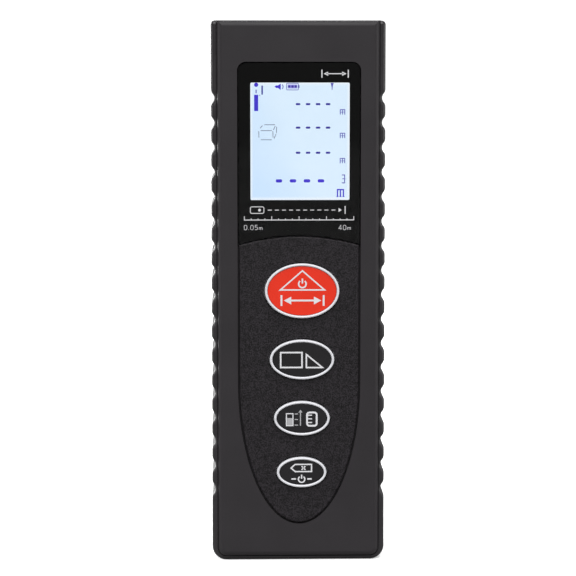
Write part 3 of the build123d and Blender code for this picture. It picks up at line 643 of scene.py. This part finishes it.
def reference_legend(white, grey):
    """Instrument, two extension lines and an arrow, then a small rule."""
    centre = middle("reference_key_inlay")
    sheet = legend("reference_legend", "reference", white)
    sheet.line(box_points((-3.58, -2.06), (-1.68, 1.12)), 0.22, closed=True, at=centre)
    sheet.line(pill((1.20, 3.42), (-1.72, 1.38), 0.55), 0.42, closed=True, at=centre)
    for z in (-0.95, -0.10, 0.75):
        sheet.line([(1.40, z), (2.35, z)], 0.26, at=centre)
    sheet.done()
    faint = legend("reference_legend_arrow", "reference", grey)
    faint.fill(box_points((-3.44, -2.20), (-1.54, 0.10)), at=centre)
    for z in (1.05, -0.25, -1.55):
        faint.line([(-1.68, z), (-0.90, z)], 0.22, at=centre)
    faint.line([(-0.33, -1.70), (-0.33, 1.40)], 0.24, at=centre)
    faint.fill([(-0.80, 1.38), (0.14, 1.38), (-0.33, 2.02)], at=centre)
    faint.done()


def clear_legend(white):
    """Delete sign above a standby sign between two dashes."""
    centre = middle("clear_key_inlay")
    sheet = legend("clear_legend", "clear", white)
    outline = [(-2.45, 1.02), (-1.50, 1.86), (2.30, 1.86), (2.30, 0.18), (-1.50, 0.18)]
    sheet.line(outline, 0.30, closed=True, at=centre)
    sheet.line([(0.00, 0.60), (0.86, 1.44)], 0.28, at=centre)
    sheet.line([(0.00, 1.44), (0.86, 0.60)], 0.28, at=centre)
    sheet.line(arc((0.0, -1.62), 0.74, 128, 412, 24), 0.30, at=centre)
    sheet.line([(0.0, -1.50), (0.0, -0.55)], 0.30, at=centre)
    for side in (-1, 1):
        sheet.line([(side * 1.30, -1.55), (side * 2.35, -1.55)], 0.34, at=centre)
    sheet.done()


# ==== display contents ==========================================================================
def display_sheet(name, material, behind=0.0):
    """A sheet of segments on the display's film."""
    depth = front("lcd_polarizer") + behind
    return Sheet(name, material, "instrument", depth, slot="chip_black", shift=CONTENTS_X)


def reading_rows(deep, strong):
    """Four blank digits on each small row and on the large row."""
    rows = display_sheet("display_small_digits", deep)
    for z in (105.98, 100.62, 94.88):
        for column in range(4):
            x = -0.20 + column * 2.29
            rows.fill(pill((x - 0.52, x + 0.52), (z - 0.24, z + 0.24), 0.20))
    rows.done()
    large = display_sheet("display_large_digits", strong)
    for column in range(4):
        x = -4.59 + column * 3.217
        large.fill(pill((x - 0.74, x + 0.74), (88.44 - 0.38, 88.44 + 0.38), 0.32))
    large.done()


def unit_marks(faint, strong):
    """Metre signs beside the rows, the raised figure and the large metre sign."""
    small = display_sheet("display_units", faint)
    for z in (103.60, 98.22, 92.46):
        small.line([(9.47, z), (9.47, z + 1.12), (10.50, z + 1.12), (10.50, z)], 0.20)
        small.line([(9.985, z), (9.985, z + 1.02)], 0.20)
        small.line([(9.47, z + 0.55), (10.50, z + 0.55)], 0.12)
    small.line([(9.86, 89.78), (10.46, 89.78), (10.52, 88.96), (10.46, 87.96), (9.84, 87.96)], 0.22)
    small.line([(9.98, 88.90), (10.46, 88.90)], 0.20)
    small.done()
    metre = display_sheet("display_large_unit", strong)
    metre.line([(8.86, 84.80), (8.86, 86.42), (10.22, 86.42), (10.22, 84.80)], 0.30)
    metre.line([(9.54, 84.80), (9.54, 86.30)], 0.30)
    for x in (8.86, 9.54, 10.22):
        metre.line([(x - 0.24, 84.80), (x + 0.24, 84.80)], 0.16)
    metre.done()


def status_icons(strong, deep, faint):
    """Laser dot and reference bars, speaker, battery level and aerial."""
    icons = display_sheet("display_icons", strong)
    icons.fill(disc((-9.78, 110.38), 0.48))
    icons.fill(box_points((-10.25, -9.32), (104.40, 108.12)))
    speaker_back = [(-5.60, 109.98), (-5.20, 109.66), (-4.80, 109.66)]
    speaker_mouth = [(-4.16, 109.22), (-4.16, 110.62), (-4.80, 110.24), (-5.20, 110.24)]
    icons.fill(speaker_back + speaker_mouth)
    icons.done()
    marks = display_sheet("display_marks", deep)
    marks.fill(box_points((-8.58, -8.24), (108.15, 110.20)))
    marks.fill(box_points((-9.02, -8.86), (107.90, 108.10)))
    marks.fill(box_points((-0.08, 0.12), (109.70, 110.32)))
    for x in (-2.22, -1.46, -0.73):
        marks.fill(disc((x, 110.00), 0.27))
    marks.done()
    thin = display_sheet("display_thin_marks", faint)
    thin.fill(box_points((-9.92, -9.66), (108.45, 109.28)))
    thin.line(arc((-4.34, 109.95), 0.72, -42, 42, 8), 0.20)
    thin.line(pill((-2.80, -0.16), (109.22, 110.72), 0.15), 0.16, closed=True)
    aerial_top = [(7.22, 110.80), (7.96, 110.80), (7.72, 110.0)]
    thin.fill(aerial_top + [(7.66, 109.2), (7.52, 109.2), (7.46, 110.0)])
    thin.done()
    level = display_sheet("display_battery_level", lit_ink("segment_pale", SEGMENT_PALE), LEVEL_BEHIND)
    level.fill(box_points((-2.55, -0.40), (109.56, 110.44)))
    level.done()


def volume_sign(grey):
    """Box drawn in thin broken lines."""
    sheet = display_sheet("display_volume_sign", grey)
    strokes = [
        [(-9.20, 99.80), (-9.16, 98.35)],
        [(-8.77, 99.94), (-6.22, 99.94)],
        [(-8.72, 97.85), (-6.22, 97.85)],
        [(-5.98, 99.80), (-5.92, 98.35)],
        [(-8.88, 100.50), (-8.36, 101.10)],
        [(-7.92, 101.28), (-5.45, 101.28)],
        [(-5.84, 100.10), (-5.40, 101.00)],
        [(-5.10, 100.85), (-5.14, 99.40)],
        [(-5.24, 99.15), (-5.72, 98.10)],
    ]
    for stroke in strokes:
        sheet.line(stroke, 0.15)
    sheet.done()


def display_contents():
    strong = lit_ink("segment_lit", SEGMENT)
    deep = lit_ink("segment_deep", SEGMENT_DEEP)
    faint = lit_ink("segment_faint", SEGMENT_FAINT)
    grey = lit_ink("segment_grey", (0.13, 0.16, 0.26))
    reading_rows(deep, strong)
    unit_marks(faint, strong)
    status_icons(strong, deep, faint)
    volume_sign(grey)


# ==== back of the instrument ====================================================================
def back_prints():
    """Blank fields on the label, polarity signs in the bay and an arrow on the battery door."""
    dark = ink("label_ink", (0.02, 0.02, 0.022))
    label = rear("rating_label")
    sheet = Sheet("label_fields", dark, "instrument", label, facing=1, slot="chip_black")
    sheet.line(pill((-12.2, 12.2), (74.3, 110.7), 1.1), 0.18, closed=True)
    for z in (80.0, 86.0, 92.0, 98.0, 104.0):
        sheet.line([(-11.6, z), (11.6, z)], 0.12)
    sheet.line([(0.0, 80.0), (0.0, 104.0)], 0.12)
    sheet.done()
    pale = ink("door_ink", (0.20, 0.20, 0.205))
    polarity = Sheet("bay_polarity", pale, "instrument", LEDGE_FACE, facing=1, slot="key_dark")
    for x in (-5.6, 5.6):
        for z in (12.3, 66.5):
            polarity.line([(x - 0.75, z), (x + 0.75, z)], 0.34)
            plus_end = (x < 0) == (z > 40)
            if plus_end:
                polarity.line([(x, z + 0.21), (x, z + 0.75)], 0.34)
                polarity.line([(x, z - 0.75), (x, z - 0.21)], 0.34)
    polarity.done()
    arrow = Sheet("door_arrow", pale, "door", rear("battery_door"), facing=1, slot="key_dark")
    arrow.line([(-1.5, 46.6), (0.0, 44.8), (1.5, 46.6)], 0.40)
    arrow.line([(0.0, 45.2), (0.0, 50.4)], 0.40)
    arrow.done()


# ==== stage, light and camera ===================================================================
def floor():
    """Pale table: the camera sees it white, and it returns less light further from the object."""
    mesh = bmesh.new()
    bmesh.ops.create_circle(mesh, cap_ends=True, segments=96, radius=FLOOR_RADIUS)
    data = bpy.data.meshes.new("floor")
    mesh.to_mesh(data)
    mesh.free()
    table = bpy.data.objects.new("floor", data)
    bpy.context.scene.collection.objects.link(table)
    graph = Graph("floor_finish")
    cloud = graph.noise(90.0, 2.0)
    away = graph.add("ShaderNodeVectorMath", operation="LENGTH")
    graph.feed(away, 0, graph.place)
    reach = away.outputs["Value"]
    bounce = graph.spread(reach, FLOOR_BRIGHT, FLOOR_DIM, FLOOR_BOUNCE, FLOOR_FAR_BOUNCE)
    seen = graph.add("ShaderNodeLightPath").outputs["Is Camera Ray"]
    white = graph.mix(cloud, (0.93, 0.93, 0.93), (0.96, 0.96, 0.96))
    graph.set(
        base_color=graph.mix(seen, graph.mix(bounce, (0.0, 0.0, 0.0), (1.0, 1.0, 1.0)), white),
        emission_color=white,
        emission_strength=graph.math("MULTIPLY", seen, FLOOR_GLOW),
        normal=graph.bump(cloud, 0.02),
    )
    graph.shader.inputs["Roughness"].default_value = 0.9
    graph.shader.inputs["Specular IOR Level"].default_value = 0.0
    table.data.materials.append(graph.material)


def surroundings():
    """Plain white behind the object; what lights it from all round is dimmer."""
    world = bpy.data.worlds.new("studio")
    world.use_nodes = True
    tree = world.node_tree
    seen = tree.nodes["Background"]
    seen.inputs["Color"].default_value = (1, 1, 1, 1)
    seen.inputs["Strength"].default_value = BACKDROP_STRENGTH
    around = tree.nodes.new("ShaderNodeBackground")
    around.inputs["Color"].default_value = (1, 1, 1, 1)
    around.inputs["Strength"].default_value = AMBIENT_STRENGTH
    path = tree.nodes.new("ShaderNodeLightPath")
    choose = tree.nodes.new("ShaderNodeMixShader")
    tree.links.new(path.outputs["Is Camera Ray"], choose.inputs["Fac"])
    tree.links.new(around.outputs["Background"], choose.inputs[1])
    tree.links.new(seen.outputs["Background"], choose.inputs[2])
    tree.links.new(choose.outputs["Shader"], tree.nodes["World Output"].inputs["Surface"])
    bpy.context.scene.world = world


def softbox(name, place, size, power):
    """Area light aimed at the middle of the instrument."""
    light = bpy.data.lights.new(name, "AREA")
    light.shape = "RECTANGLE"
    light.size, light.size_y = size
    light.energy = power
    lamp = bpy.data.objects.new(name, light)
    lamp.location = place
    lamp.rotation_euler = (CAMERA_TARGET - Vector(place)).to_track_quat("-Z", "Y").to_euler()
    lamp.visible_camera = False
    bpy.context.scene.collection.objects.link(lamp)


def sky_light():
    """Broad even light, so that the table is the same white near and far."""
    light = bpy.data.lights.new("overhead", "SUN")
    light.energy = SKY_STRENGTH
    light.angle = math.radians(SKY_SPREAD)
    lamp = bpy.data.objects.new("overhead", light)
    lamp.rotation_euler = Vector(SKY_DIRECTION).to_track_quat("-Z", "Y").to_euler()
    bpy.context.scene.collection.objects.link(lamp)


def camera():
    elevation = math.radians(CAMERA_ELEVATION)
    azimuth = math.radians(CAMERA_AZIMUTH)
    back = Vector((
        math.sin(azimuth) * math.cos(elevation),
        -math.cos(azimuth) * math.cos(elevation),
        math.sin(elevation),
    ))
    data = bpy.data.cameras.new("camera")
    data.lens = CAMERA_LENS
    data.sensor_width = 36.0
    data.shift_x, data.shift_y = CAMERA_SHIFT
    data.clip_start = 0.01
    eye = bpy.data.objects.new("camera", data)
    eye.location = CAMERA_TARGET + back * CAMERA_DISTANCE
    eye.rotation_euler = (-back).to_track_quat("-Z", "Y").to_euler()
    bpy.context.scene.collection.objects.link(eye)
    bpy.context.scene.camera = eye


def light_and_camera():
    surroundings()
    sky_light()
    for name, (place, size, power) in SOFTBOXES.items():
        softbox(name, place, size, power)
    camera()
    scene = bpy.context.scene
    scene.view_settings.view_transform = "Standard"
    scene.view_settings.look = "None"


def corners(box):
    return [list(corner) for corner in box]


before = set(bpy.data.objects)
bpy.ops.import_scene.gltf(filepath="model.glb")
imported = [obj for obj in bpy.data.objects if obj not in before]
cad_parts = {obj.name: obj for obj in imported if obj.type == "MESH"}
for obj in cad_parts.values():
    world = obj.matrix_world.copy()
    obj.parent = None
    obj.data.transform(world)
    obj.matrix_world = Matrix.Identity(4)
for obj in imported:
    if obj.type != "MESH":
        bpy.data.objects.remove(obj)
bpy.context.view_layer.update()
finish_nodes(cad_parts)
white_ink = ink("white_ink", WHITE_INK)
window_prints(white_ink, ink("pale_ink", tone(WHITE_INK, 0.95)))
measure_legend(white_ink)
area_legend(white_ink)
reference_legend(white_ink, ink("grey_ink", tone(WHITE_INK, 0.55)))
clear_legend(white_ink)
display_contents()
back_prints()
floor()
light_and_camera()
